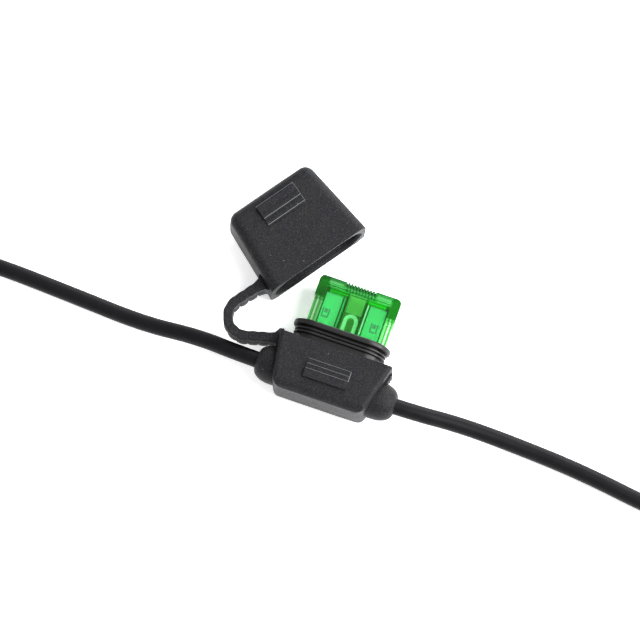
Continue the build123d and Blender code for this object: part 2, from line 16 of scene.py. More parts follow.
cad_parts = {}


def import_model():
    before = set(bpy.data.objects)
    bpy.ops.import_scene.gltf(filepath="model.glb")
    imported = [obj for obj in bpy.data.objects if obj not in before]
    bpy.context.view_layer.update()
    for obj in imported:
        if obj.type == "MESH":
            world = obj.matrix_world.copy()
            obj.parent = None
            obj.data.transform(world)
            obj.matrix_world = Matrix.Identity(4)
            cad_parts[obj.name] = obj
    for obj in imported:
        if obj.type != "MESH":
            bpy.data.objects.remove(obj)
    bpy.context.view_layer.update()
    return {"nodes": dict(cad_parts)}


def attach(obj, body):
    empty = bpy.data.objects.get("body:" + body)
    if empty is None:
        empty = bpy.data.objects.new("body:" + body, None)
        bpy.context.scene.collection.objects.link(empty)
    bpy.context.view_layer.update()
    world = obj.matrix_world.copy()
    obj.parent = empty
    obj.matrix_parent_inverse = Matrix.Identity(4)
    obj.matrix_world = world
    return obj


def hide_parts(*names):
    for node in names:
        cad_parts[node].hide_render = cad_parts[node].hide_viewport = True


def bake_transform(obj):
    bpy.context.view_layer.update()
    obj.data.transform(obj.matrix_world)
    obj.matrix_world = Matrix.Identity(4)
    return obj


LOG = logging.getLogger("fuse_holder")

MM = 0.001
MID_Z = 7.4
Point = tuple[float, float, float]
Number = Union[float, "Signal"]


def srgb(red: float, green: float, blue: float) -> tuple[float, float, float, float]:
    """Turns a screen colour into the linear colour that a shader takes.

    Args:
        red: Red from 0 to 255.
        green: Green from 0 to 255.
        blue: Blue from 0 to 255.

    Returns:
        The linear colour, with an alpha of 1.
    """
    def linear(value: float) -> float:
        part = value / 255
        return part / 12.92 if part <= 0.04045 else ((part + 0.055) / 1.055) ** 2.4

    return (linear(red), linear(green), linear(blue), 1.0)


class Axis(Enum):
    """A coordinate of object space."""

    X = "X"
    Y = "Y"
    Z = "Z"


class Side(Enum):
    """A side of the holder, seen with the fuse pointing up."""

    LEFT = "left"
    RIGHT = "right"


class Signal:
    """One output socket of a node tree, with arithmetic that adds nodes."""

    def __init__(self, shader: "Shader", socket: bpy.types.NodeSocket) -> None:
        self.shader = shader
        self.socket = socket

    def _math(self, operation: str, *values: Number) -> "Signal":
        """Adds one Math node.

        Args:
            operation: The node's operation.
            values: Its inputs in order.

        Returns:
            The node's output.
        """
        return self.shader.node("ShaderNodeMath", {"operation": operation}, dict(enumerate(values)))

    def __add__(self, other: Number) -> "Signal":
        return self._math("ADD", self, other)

    def __radd__(self, other: Number) -> "Signal":
        return self._math("ADD", other, self)

    def __sub__(self, other: Number) -> "Signal":
        return self._math("SUBTRACT", self, other)

    def __rsub__(self, other: Number) -> "Signal":
        return self._math("SUBTRACT", other, self)

    def __mul__(self, other: Number) -> "Signal":
        return self._math("MULTIPLY", self, other)

    def __truediv__(self, other: Number) -> "Signal":
        return self._math("DIVIDE", self, other)

    def __pow__(self, other: Number) -> "Signal":
        return self._math("POWER", self, other)

    def __abs__(self) -> "Signal":
        return self._math("ABSOLUTE", self)

    def above(self, edge: Number) -> "Signal":
        """1 where the signal is greater than an edge, else 0."""
        return self._math("GREATER_THAN", self, edge)

    def rounded(self) -> "Signal":
        """The nearest whole number."""
        return self._math("ROUND", self)

    def ramp(self, low: float, high: float) -> "Signal":
        """Rises smoothly from 0 at one value to 1 at another.

        Args:
            low: Where it is 0.
            high: Where it is 1.

        Returns:
            The eased signal.
        """
        values = {"Value": self, "From Min": low, "From Max": high}
        settings = {"interpolation_type": "SMOOTHSTEP"}
        return self.shader.node("ShaderNodeMapRange", settings, values)


class Shader:
    """A material's node tree round one Principled shader."""

    def __init__(self, name: str) -> None:
        self.material = bpy.data.materials.new(name)
        self.material.use_nodes = True
        self.tree = self.material.node_tree
        self.tree.nodes.clear()
        self.output = self.tree.nodes.new("ShaderNodeOutputMaterial")
        self.principled = self.tree.nodes.new("ShaderNodeBsdfPrincipled")
        self.tree.links.new(self.principled.outputs["BSDF"], self.output.inputs["Surface"])
        self.place = self.node("ShaderNodeTexCoord", {}, {}, "Object")

    def node(self, kind: str, settings: dict, inputs: dict, output: Union[int, str] = 0) -> Signal:
        """Adds any node.

        Args:
            kind: The node's type.
            settings: Its own properties by name.
            inputs: Its inputs by name or number, each a value or a signal.
            output: The output wanted, by name or number.

        Returns:
            That output.
        """
        made = self.tree.nodes.new(kind)
        for name, value in settings.items():
            setattr(made, name, value)
        for key, value in inputs.items():
            if isinstance(value, Signal):
                self.tree.links.new(value.socket, made.inputs[key])
            else:
                made.inputs[key].default_value = value
        return Signal(self, made.outputs[output])

    def noise(self, scale: float, detail: float = 2.0, roughness: float = 0.5) -> Signal:
        """Noise over object space, with a scale in cells per metre."""
        inputs = {"Vector": self.place, "Scale": scale, "Detail": detail, "Roughness": roughness}
        return self.node("ShaderNodeTexNoise", {}, inputs, "Fac")

    def cells(self, scale: float) -> Signal:
        """Distance to the nearest random point, with a scale in points per metre."""
        return self.node("ShaderNodeTexVoronoi", {}, {"Vector": self.place, "Scale": scale}, "Distance")

    def axis(self, axis: Axis) -> Signal:
        """One coordinate of object space, in metres."""
        return self.node("ShaderNodeSeparateXYZ", {}, {0: self.place}, axis.value)

    def mix(self, amount: Number, first: object, second: object) -> Signal:
        """Mixes two colours.

        Args:
            amount: The share of the second.
            first: A colour or a signal.
            second: A colour or a signal.

        Returns:
            The colour.
        """
        made = self.tree.nodes.new("ShaderNodeMix")
        made.data_type = "RGBA"
        for socket, value in ((made.inputs[0], amount), (made.inputs[6], first), (made.inputs[7], second)):
            if isinstance(value, Signal):
                self.tree.links.new(value.socket, socket)
            else:
                socket.default_value = value
        return Signal(self, made.outputs[2])

    def band(self, value: Signal, low: float, high: float, soft: float = 0.0001) -> Signal:
        """1 between two values of a signal and 0 beyond them, with soft edges.

        Args:
            value: The signal.
            low: Where the band starts.
            high: Where it ends.
            soft: Half the width of each edge.

        Returns:
            The mask.
        """
        return value.ramp(low - soft, low + soft) * (1.0 - value.ramp(high - soft, high + soft))

    def bump(self, height: Signal, depth: float, below: Signal | None = None) -> Signal:
        """Turns a height from 0 to 1 into a normal.

        Args:
            height: The height.
            depth: What a height of 1 measures, in metres.
            below: A normal to build on.

        Returns:
            The normal.
        """
        inputs = {"Height": height, "Distance": depth, "Strength": 1.0}
        if below is not None:
            inputs["Normal"] = below
        return self.node("ShaderNodeBump", {}, inputs)

    def drive(self, **inputs: object) -> bpy.types.Material:
        """Connects signals or values to the Principled shader.

        Args:
            inputs: Socket names, with _ for a space, and what each takes.

        Returns:
            The material.
        """
        for key, value in inputs.items():
            socket = self.principled.inputs[key.replace("_", " ")]
            if isinstance(value, Signal):
                self.tree.links.new(value.socket, socket)
            else:
                socket.default_value = value
        return self.material


@dataclass(frozen=True)
class PadHighlights:
    """Where the painted highlights along the edges of one stepped grip pad run, in the plan of the piece that
    carries it.

    Attributes:
        origin: The point of the plan that the pad is drawn from.
        turn: How far the pad's own axes are turned, in degrees.
        half: Half its length along its own X.
        lines: The Y of each edge that runs along it.
        ends: Which of its two ends have a painted highlight, as signs.
        width: Half the width of a painted highlight.
        rise: The Z from which and to which the painted highlights fade in, so that only the upper pad has them.
    """

    origin: tuple[float, float]
    turn: float
    half: float
    lines: tuple[float, ...]
    ends: tuple[int, ...]
    width: float = 0.00005
    rise: tuple[float, float] = (0.0125, 0.0135)


@dataclass(frozen=True)
class MouldedRubber:
    """Matt, finely grained black rubber with specks of dust, warm worn patches and painted highlights along its
    pad's edges.

    Attributes:
        name: The material's name.
        pad: Where the painted highlights along its grip pad's edges run, if it has one.
        colour: Its darkest colour.
        warm: The colour of its worn patches.
        grey: The colour of its grain's crests.
        speck: The colour of the dust.
        edge: The colour of the painted highlights on the pad's edges.
        roughness: How matt it is.
        specular: How much it mirrors.
        grain: The scale of its grain, in cells per metre.
        grain_depth: The depth of its grain.
        patches: The scale of its worn patches.
        dust: The scale of its specks.
        dusty_places: The scale of the places that have specks.
    """

    name: str = "rubber"
    pad: PadHighlights | None = None
    colour: tuple = srgb(23, 23, 25)
    warm: tuple = srgb(30, 28, 25)
    grey: tuple = srgb(62, 62, 67)
    speck: tuple = srgb(130, 130, 126)
    edge: tuple = srgb(108, 109, 112)
    roughness: float = 0.42
    specular: float = 0.07
    grain: float = 4300.0
    grain_depth: float = 0.00009
    patches: float = 260.0
    dust: float = 900.0
    dusty_places: float = 330.0

    def edges(self, shader: Shader) -> Signal:
        """A mask of the painted highlights along the edges of the grip pad.

        Args:
            shader: The material's tree.

        Returns:
            1 on the painted highlights and 0 elsewhere.
        """
        turn = math.radians(self.pad.turn)
        across, along = shader.axis(Axis.X) - self.pad.origin[0], shader.axis(Axis.Y) - self.pad.origin[1]
        own_x = across * math.cos(turn) + along * math.sin(turn)
        own_y = along * math.cos(turn) - across * math.sin(turn)
        low, high = min(self.pad.lines), max(self.pad.lines)
        width, half = self.pad.width, self.pad.half
        inside_x = shader.band(own_x, -half, half, width)
        inside_y = shader.band(own_y, low, high, width)
        upper = shader.axis(Axis.Z).ramp(*self.pad.rise)
        strips = [shader.band(own_y, line - width, line + width, width) * inside_x for line in self.pad.lines]
        for end in (sign * half for sign in self.pad.ends):
            strips.append(shader.band(own_x, end - width, end + width, width) * inside_y)
        return sum(strips[1:], strips[0]) * upper

    def build(self) -> bpy.types.Material:
        """Makes the material."""
        shader = Shader(self.name)
        grain = shader.noise(self.grain, 3.0, 0.6)
        patches = shader.noise(self.patches, 3.0)
        specks = 1.0 - shader.cells(self.dust).ramp(0.05, 0.11)
        specks = specks * shader.noise(self.dusty_places, 0.0).ramp(0.68, 0.72)
        base = shader.mix(patches.ramp(0.35, 0.75) * 0.5, self.colour, self.warm)
        mottled = shader.mix(grain.ramp(0.45, 0.75) * 0.6, base, self.grey)
        colour = shader.mix(specks * 0.7, mottled, self.speck)
        if self.pad is not None:
            # Painted highlights: pale lines where light glints off the pad's step edges.
            colour = shader.mix(self.edges(shader), colour, self.edge)
        rough = self.roughness + (patches - 0.5) * 0.12
        return shader.drive(
            Base_Color=colour,
            Roughness=rough,
            Normal=shader.bump(grain, self.grain_depth),
            Specular_IOR_Level=self.specular,
        )


@dataclass(frozen=True)
class GlossyCore:
    """Smooth dark plastic with a faint flow pattern from its mould."""

    name: str = "core"
    colour: tuple = srgb(13, 12, 12)
    flowed: tuple = srgb(20, 19, 20)
    roughness: float = 0.34
    specular: float = 0.3

    def build(self) -> bpy.types.Material:
        """Makes the material."""
        shader = Shader(self.name)
        flow = shader.noise(300.0, 4.0)
        colour = shader.mix(flow.ramp(0.3, 0.8) * 0.4, self.colour, self.flowed)
        return shader.drive(
            Base_Color=colour,
            Roughness=self.roughness + flow * 0.12,
            Normal=shader.bump(flow, 0.00002),
            Specular_IOR_Level=self.specular,
        )


@dataclass(frozen=True)
class LeadJacket:
    """Near-black plastic insulation, half matt, with a slight waviness from extrusion."""

    name: str = "jacket"
    colour: tuple = srgb(9, 8, 10)
    faded: tuple = srgb(16, 15, 18)
    roughness: float = 0.5
    specular: float = 0.1

    def build(self) -> bpy.types.Material:
        """Makes the material."""
        shader = Shader(self.name)
        wave = shader.noise(420.0, 2.0)
        fine = shader.noise(5200.0, 2.0)
        colour = shader.mix(wave.ramp(0.3, 0.8) * 0.5, self.colour, self.faded)
        normal = shader.bump(wave, 0.00003)
        return shader.drive(
            Base_Color=colour,
            Roughness=self.roughness + (fine - 0.5) * 0.2,
            Normal=shader.bump(fine, 0.00001, normal),
            Specular_IOR_Level=self.specular,
        )


@dataclass(frozen=True)
class BareMetal:
    """Bare metal with drawn or rolled streaks and light tarnish."""

    name: str
    colour: tuple
    tarnish: tuple
    roughness: float = 0.3

    def build(self) -> bpy.types.Material:
        """Makes the material."""
        shader = Shader(self.name)
        cloud = shader.noise(500.0, 4.0)
        fine = shader.noise(6000.0, 2.0)
        return shader.drive(
            Base_Color=shader.mix(cloud.ramp(0.45, 0.8) * 0.6, self.colour, self.tarnish),
            Roughness=self.roughness + cloud * 0.18,
            Normal=shader.bump(fine, 0.00001),
            Metallic=1.0,
        )


@dataclass(frozen=True)
class Element:
    """The fuse's stamped zinc, with a painted mint glow in place of the light that reaches it through the
    plastic.

    Attributes:
        metal: The colour of the bare blades.
        mint: The colour of the blades inside the housing, partly the green of the plastic over them and partly
            painted light that brightens them.
        clouds: The colour of their clouded places.
        lit_link: The colour of the link, the brightest, used for its colour and for its painted glow.
        painted_blade_glow: The colour of the blades' painted glow.
        staked: The colour of the stake marks.
        housing_bottom: The Y where the housing starts.
        centre: The X of the middle of the fuse.
        link_half: Half the width of the link's place.
        stakes_centre: The X midway between the two marks.
        stake: How far each mark is from there, and its Y.
        glow: The strength of the painted glow.
        roughness: How matt the metal is.
    """

    name: str = "element"
    metal: tuple = srgb(140, 144, 143)
    mint: tuple = srgb(100, 212, 146)
    clouds: tuple = srgb(96, 150, 116)
    lit_link: tuple = srgb(226, 252, 236)
    painted_blade_glow: tuple = srgb(66, 150, 104)
    staked: tuple = srgb(0, 12, 3)
    housing_bottom: float = 0.0106
    centre: float = 0.0006
    link_half: float = 0.002
    stakes_centre: float = 0.0003
    stake: tuple[float, float] = (0.0057, 0.0153)
    glow: float = 0.75
    roughness: float = 0.34

    def stakes(self, shader: Shader) -> Signal:
        """A mask of the two U-shaped stake marks, each round a small square.

        Args:
            shader: The material's tree.

        Returns:
            1 on the marks and 0 elsewhere.
        """
        across = abs(abs(shader.axis(Axis.X) - self.stakes_centre) - self.stake[0])
        up = shader.axis(Axis.Y) - self.stake[1]
        soft = 0.00005
        below = -0.001
        legs = shader.band(across, 0.00052, 0.0009, soft) * shader.band(up, -0.0009, 0.0009, soft)
        bow = shader.band(across, below, 0.0008, soft) * shader.band(up, -0.0013, -0.0009, soft)
        square = shader.band(across, below, 0.0004, soft) * shader.band(up, -0.0002, 0.0008, soft)
        return legs + bow + square

    def build(self) -> bpy.types.Material:
        """Makes the material."""
        shader = Shader(self.name)
        cloud = shader.noise(500.0, 4.0)
        inside = shader.axis(Axis.Y).ramp(self.housing_bottom, self.housing_bottom + 0.0004)
        link = shader.band(abs(shader.axis(Axis.X) - self.centre), -self.link_half, self.link_half)
        seen = shader.mix(link, self.mint, self.lit_link)
        tinted = shader.mix(inside, self.metal, seen)
        clouded = shader.mix(cloud.ramp(0.5, 0.85) * 0.25, tinted, self.clouds)
        marks = self.stakes(shader)
        # Painted glow: the blades and the link glow, in place of the light that reaches them through the
        # plastic; the stake marks do not.
        painted_glow_colour = shader.mix(inside, (0, 0, 0, 1), shader.mix(link, self.painted_blade_glow, self.lit_link))
        return shader.drive(
            Base_Color=shader.mix(marks, clouded, self.staked),
            Roughness=self.roughness + cloud * 0.18,
            Metallic=1.0 - inside * 0.6,
            Emission_Color=shader.mix(marks, painted_glow_colour, self.staked),
            Emission_Strength=self.glow,
        )


@dataclass(frozen=True)
class Tint:
    """A box in the housing's plan with its own colour: mostly the plastic's own depth of colour, in two boxes a
    painted highlight.

    Attributes:
        colour: Its colour.
        out: From and to what distance from the housing's middle line.
        along: From and to what Y.
        side: 1 for the right half only, 0 for both.
    """

    colour: tuple
    out: tuple[float, float]
    along: tuple[float, float]
    side: int = 0


@dataclass(frozen=True)
class ClearGreen:
    """Clear green plastic, pale where it is thin and deep green where the light crosses more of it.

    The depth of colour follows the housing's form: its lobes, ribs, channel and top bar. A pale line beside the
    channel and a streak on the top bar are painted highlights, and the dark between the serrations is painted
    shade.

    Attributes:
        pale: The colour of its thin places.
        flowed: The colour where the plastic flowed in its mould.
        over_link: The colour over the arched link.
        groove_shade: The colour of the painted shade between the serrations.
        centre: The X of the middle of the fuse.
        arch: The Y of the middle of the link's arch, and its inner and outer radius.
        pitch: From one serration to the next.
        serrated: Half the width of the serrated place.
        roughness: How matt its skin is at least.
        clearness: The share of the light that it lets through.
        ior: How much it bends the light.
        tints: The places with their own colour, each laid over those before it.
    """

    name: str = "fuse_green"
    pale: tuple = srgb(104, 226, 146)
    flowed: tuple = srgb(84, 214, 124)
    over_link: tuple = srgb(122, 210, 140)
    groove_shade: tuple = srgb(2, 24, 6)
    centre: float = 0.0006
    arch: tuple[float, float, float] = (0.0149, 0.0008, 0.0017)
    pitch: float = 0.00072
    serrated: float = 0.0035
    roughness: float = 0.05
    clearness: float = 0.85
    ior: float = 1.36
    tints: tuple[Tint, ...] = (
        Tint(srgb(64, 166, 60), (-0.001, 0.0019), (0.0, 0.0211)),
        Tint(srgb(2, 100, 4), (0.0019, 0.0025), (0.0, 0.0211)),
        # Painted highlight: a pale line along the right wall of the channel.
        Tint(srgb(225, 248, 228), (0.0026, 0.0028), (0.0125, 0.0205), 1),
        Tint(srgb(2, 112, 6), (0.0029, 0.0032), (0.0, 0.0200)),
        Tint(srgb(2, 176, 6), (0.0025, 0.0074), (0.0196, 0.0210)),
        Tint(srgb(2, 84, 4), (0.0025, 0.0074), (0.0209, 0.0212)),
        Tint(srgb(2, 92, 6), (0.0066, 0.0074), (0.0196, 0.0210)),
        Tint(srgb(2, 100, 4), (0.0071, 0.0074), (0.0, 0.0200)),
        Tint(srgb(104, 186, 104), (0.0075, 0.02), (0.0, 0.0180)),
        Tint(srgb(24, 110, 28), (0.0080, 0.0082), (0.0, 0.0180)),
        Tint(srgb(222, 242, 222), (0.0084, 0.0086), (0.0, 0.0180)),
        Tint(srgb(30, 118, 34), (0.0088, 0.0090), (0.0, 0.0180)),
        Tint(srgb(2, 96, 4), (0.0074, 0.02), (0.0180, 0.0300)),
        Tint(srgb(44, 142, 56), (-0.001, 0.0074), (0.0210, 0.0300)),
        # Painted highlight: a pale streak across the top bar.
        Tint(srgb(128, 206, 138), (0.0040, 0.0072), (0.0217, 0.0222)),
        Tint(srgb(8, 84, 16), (-0.001, 0.0078), (0.0226, 0.0300)),
    )

    def build(self) -> bpy.types.Material:
        """Makes the material."""
        shader = Shader(self.name)
        across = shader.axis(Axis.X) - self.centre
        out, along = abs(across), shader.axis(Axis.Y)
        flow = shader.noise(420.0, 3.0)
        fine = shader.noise(3800.0, 2.0)
        colour = shader.mix(flow.ramp(0.4, 0.8) * 0.3, self.pale, self.flowed)
        for tint in self.tints:
            mask = shader.band(out, *tint.out, 0.00006) * shader.band(along, *tint.along, 0.0001)
            if tint.side:
                mask = mask * across.above(0.0)
            colour = shader.mix(mask, colour, tint.colour)
        middle, inner, outer = self.arch
        rise = (along - middle) * along.above(middle)
        arch = shader.band((across**2.0 + rise**2.0) ** 0.5, inner, outer)
        colour = shader.mix(arch, colour, self.over_link)
        count = across / self.pitch
        beat = abs(count - count.rounded())
        # Painted shade: dark in each groove between the serrations, on the top bar.
        groove_shade_mask = beat.ramp(0.24, 0.34) * shader.band(out, -self.serrated, self.serrated)
        colour = shader.mix(groove_shade_mask * along.ramp(0.0215, 0.0218), colour, self.groove_shade)
        return shader.drive(
            Base_Color=colour,
            Roughness=self.roughness + fine * 0.05,
            Normal=shader.bump(flow, 0.00003),
            Transmission_Weight=self.clearness,
            IOR=self.ior,
        )


@dataclass(frozen=True)
class Lamp:
    """One soft square light that faces the holder.

    Attributes:
        name: The light's name.
        place: Where it hangs, in metres.
        size: The side of its square.
        power: Its power in watts.
        colour: Its colour.
    """

    name: str
    place: Point
    size: float
    power: float
    colour: Point = (1.0, 1.0, 1.0)


class Stage:
    """The camera, the lights and the white surroundings of the photograph."""

    TARGET = (-0.00603, 0.01324, 0.0074)
    TOWARDS_CAMERA = (0.0768, -0.2204, 0.9724)
    DISTANCE = 1.0
    FRAME_WIDTH = 0.1432
    SENSOR = 36.0
    FLOOR_HALF = 0.9
    FLOOR_Z = -0.00005
    FLOOR_GLOW = 0.45
    SHOWN_STRENGTH = 1.0
    LIT_STRENGTH = 0.8
    LAMPS = (
        Lamp("overhead", (0.48, 0.10, 0.80), 0.5, 10.0),
        Lamp("back", (0.10, 0.80, 0.34), 0.35, 8.0, (0.94, 0.97, 1.0)),
        Lamp("right", (0.75, 0.05, 0.40), 0.3, 8.0, (0.97, 0.98, 1.0)),
        Lamp("front", (-0.05, -0.70, 0.35), 0.6, 1.0, (1.0, 0.92, 0.82)),
    )

    def camera(self) -> bpy.types.Object:
        """Puts the camera where the photograph was taken from."""
        data = bpy.data.cameras.new("camera")
        data.sensor_width = self.SENSOR
        data.lens = self.SENSOR * self.DISTANCE / self.FRAME_WIDTH
        data.clip_start = 0.01
        made = bpy.data.objects.new("camera", data)
        bpy.context.scene.collection.objects.link(made)
        away = np.array(self.TOWARDS_CAMERA) / np.linalg.norm(self.TOWARDS_CAMERA)
        made.location = np.array(self.TARGET) + away * self.DISTANCE
        right = np.cross((0, 0, 1), away)
        right /= np.linalg.norm(right)
        up = np.cross(away, right)
        made.rotation_euler = Matrix(np.array((right, up, away)).T.tolist()).to_euler()
        bpy.context.scene.camera = made
        return made

    def light(self, lamp: Lamp) -> None:
        """Hangs one lamp, turned to the holder.

        Args:
            lamp: The lamp.
        """
        data = bpy.data.lights.new(lamp.name, "AREA")
        data.size = lamp.size
        data.energy = lamp.power
        data.color = lamp.colour
        made = bpy.data.objects.new(lamp.name, data)
        bpy.context.scene.collection.objects.link(made)
        made.location = lamp.place
        away = np.array(lamp.place) - np.array(self.TARGET)
        away = away / np.linalg.norm(away)
        right = np.cross((0, 1, 0.001), away)
        right /= np.linalg.norm(right)
        made.rotation_euler = Matrix(np.array((right, np.cross(away, right), away)).T.tolist()).to_euler()

    def floor(self) -> bpy.types.Object:
        """Lays a white sheet under the holder. It glows a little, so that the shadows stay faint."""
        grid = np.linspace(-self.FLOOR_HALF, self.FLOOR_HALF, 3)
        across, along = np.meshgrid(grid, grid, indexing="ij")
        sheet = Surface("floor", np.stack([across, along, np.full_like(across, self.FLOOR_Z)], axis=-1))
        made = sheet.build()
        shader = Shader("white_floor")
        fibres = shader.noise(900.0, 2.0)
        made.data.materials.append(
            shader.drive(
                Base_Color=shader.mix(fibres, srgb(252, 252, 252), srgb(255, 255, 255)),
                Roughness=0.9,
                Specular_IOR_Level=0.1,
                Emission_Color=(1, 1, 1, 1),
                Emission_Strength=self.FLOOR_GLOW,
            )
        )
        return made

    def surroundings(self) -> None:
        """Shows white behind everything and lights the scene evenly."""
        world = bpy.data.worlds.new("white")
        bpy.context.scene.world = world
        world.use_nodes = True
        tree = world.node_tree
        tree.nodes.clear()
        output = tree.nodes.new("ShaderNodeOutputWorld")
        shown = tree.nodes.new("ShaderNodeBackground")
        lit = tree.nodes.new("ShaderNodeBackground")
        shown.inputs["Strength"].default_value = self.SHOWN_STRENGTH
        shown.inputs["Color"].default_value = (1, 1, 1, 1)
        lit.inputs["Strength"].default_value = self.LIT_STRENGTH
        lit.inputs["Color"].default_value = (0.97, 0.98, 1, 1)
        rays = tree.nodes.new("ShaderNodeLightPath")
        choice = tree.nodes.new("ShaderNodeMixShader")
        tree.links.new(rays.outputs["Is Camera Ray"], choice.inputs[0])
        tree.links.new(lit.outputs[0], choice.inputs[1])
        tree.links.new(shown.outputs[0], choice.inputs[2])
        tree.links.new(choice.outputs[0], output.inputs["Surface"])

    def build(self) -> None:
        """Sets the whole stage."""
        scene = bpy.context.scene
        scene.view_settings.view_transform = "Standard"
        self.camera()
        for lamp in self.LAMPS:
            self.light(lamp)
        self.floor()
        self.surroundings()


@dataclass
class Surface:
    """A mesh computed as a grid of points over two parameters.

    Attributes:
        name: The object's name.
        points: Rows x columns x 3, in metres.
        wrap: Whether the last column joins the first.
        capped: Whether the first and last rows close to their middles.
        smooth: Whether its faces are shaded smooth.
    """

    name: str
    points: np.ndarray
    wrap: bool = False
    capped: bool = False
    smooth: bool = True

    def arrays(self) -> tuple[np.ndarray, list]:
        """Vertices and faces of the grid.

        Returns:
            The points as rows and the faces as lists of indices.
        """
        rows, columns, _ = self.points.shape
        index = np.arange(rows * columns).reshape(rows, columns)
        if self.wrap:
            index = np.concatenate([index, index[:, :1]], axis=1)
        low, high = index[:-1], index[1:]
        quads = np.stack([low[:, :-1], low[:, 1:], high[:, 1:], high[:, :-1]], axis=-1).reshape(-1, 4)
        faces = quads.tolist()
        if self.capped:
            faces.append(index[0, :-1][::-1].tolist())
            faces.append(index[-1, :-1].tolist())
        return self.points.reshape(-1, 3), faces

    def build(self) -> bpy.types.Object:
        """Makes the object."""
        return make_object(self.name, [self.arrays()], self.smooth)


def make_object(name: str, parts: Iterable[tuple[np.ndarray, list]], smooth: bool = True) -> bpy.types.Object:
    """One object from several sets of vertices and faces.

    Args:
        name: The object's name.
        parts: Vertices in metres and faces, for each set.
        smooth: Whether its faces are shaded smooth.

    Returns:
        The linked object.
    """
    points, faces, offset = [], [], 0
    for vertices, polygons in parts:
        points.append(vertices)
        faces += [[corner + offset for corner in polygon] for polygon in polygons]
        offset += len(vertices)
    mesh = bpy.data.meshes.new(name)
    mesh.from_pydata(np.concatenate(points).tolist(), [], faces)
    mesh.polygons.foreach_set("use_smooth", [smooth] * len(mesh.polygons))
    mesh.update()
    made = bpy.data.objects.new(name, mesh)
    bpy.context.scene.collection.objects.link(made)
    return made


@dataclass
class Lead:
    """One lead: a jacket along a smooth route and a bare stranded end.

    Attributes:
        side: The side that it leaves from.
        route: The route's points in millimetres, from the crimp to the jacket's end.
        tip: The end of the bare core in millimetres.
        exit: Where the lead leaves its boss, in millimetres. Not used.
        length: From the exit to the end of the jacket, in millimetres. Not used.
        diameter: Of the jacket.
        core: The diameter of the bare core.
        lay: The length over which its wires turn once.
        overlap: How far the wires reach back into the jacket.
    """

    side: Side
    route: Sequence[Point]
    tip: Point
    exit: Point
    length: float
    diameter: float = 3.7
    core: float = 2.35
    lay: float = 16.0
    overlap: float = 1.5

    def jacket(self, finish: bpy.types.Material) -> bpy.types.Object:
        """The insulated part, as a round curve."""
        curve = bpy.data.curves.new(f"jacket_{self.side.value}", "CURVE")
        curve.dimensions = "3D"
        curve.bevel_depth = self.diameter / 2 * MM
        curve.bevel_resolution = 10
        curve.resolution_u = 24
        curve.use_fill_caps = True
        spline = curve.splines.new("NURBS")
        spline.points.add(len(self.route) - 1)
        for point, place in zip(spline.points, self.route):
            point.co = (*[value * MM for value in place], 1.0)
        spline.order_u = 3
        spline.use_endpoint_u = True
        spline.use_smooth = True
        made = bpy.data.objects.new(f"jacket_{self.side.value}", curve)
        bpy.context.scene.collection.objects.link(made)
        curve.materials.append(finish)
        return made

    def strands(self, finish: bpy.types.Material) -> bpy.types.Object:
        """The bare end: one wire in the middle and eighteen twisted round it in two layers.

        A wire at radius r and angle a runs along (t, r cos(a + k t), r sin(a + k t)) of the end's frame.
        """
        start = np.array(self.route[-1]) * MM
        end = np.array(self.tip) * MM
        along = (end - start) / np.linalg.norm(end - start)
        side = np.cross(along, (0, 0, 1.0))
        side /= np.linalg.norm(side)
        up = np.cross(side, along)
        start = start - along * self.overlap * MM
        length = np.linalg.norm(end - start)
        wire = self.core / 2 / 5 * MM
        steps = np.linspace(0, 1, 25)
        ring = np.linspace(0, 2 * math.pi, 8, endpoint=False)
        sets = []
        layers = [(0.0, [0.0]), (2 * wire, np.arange(6) * math.pi / 3), (4 * wire, np.arange(12) * math.pi / 6)]
        for radius, angles in layers:
            for number, angle in enumerate(angles):
                turn = angle + steps * length / (self.lay * MM) * 2 * math.pi
                reach = length - 0.35 * MM * ((number * 7) % 5) / 5
                centre = (
                    start
                    + np.outer(steps * reach, along)
                    + np.outer(radius * np.cos(turn), side)
                    + np.outer(radius * np.sin(turn), up)
                )
                circle = np.outer(np.cos(ring), side) + np.outer(np.sin(ring), up)
                tube = centre[:, None, :] + wire * circle[None, :, :]
                sets.append(Surface("wire", tube, wrap=True, capped=True).arrays())
        made = make_object(f"strands_{self.side.value}", sets)
        made.data.materials.append(finish)
        return made

    def build(self, jacket: bpy.types.Material, copper: bpy.types.Material) -> None:
        run = self.jacket(jacket)
        bare = self.strands(copper)
        for piece, slot, node in (
            (run, "jacket_black", f"lead_{self.side.value}"),
            (bare, "copper", f"conductor_{self.side.value}"),
        ):
            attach(piece, "holder")
            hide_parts(node)


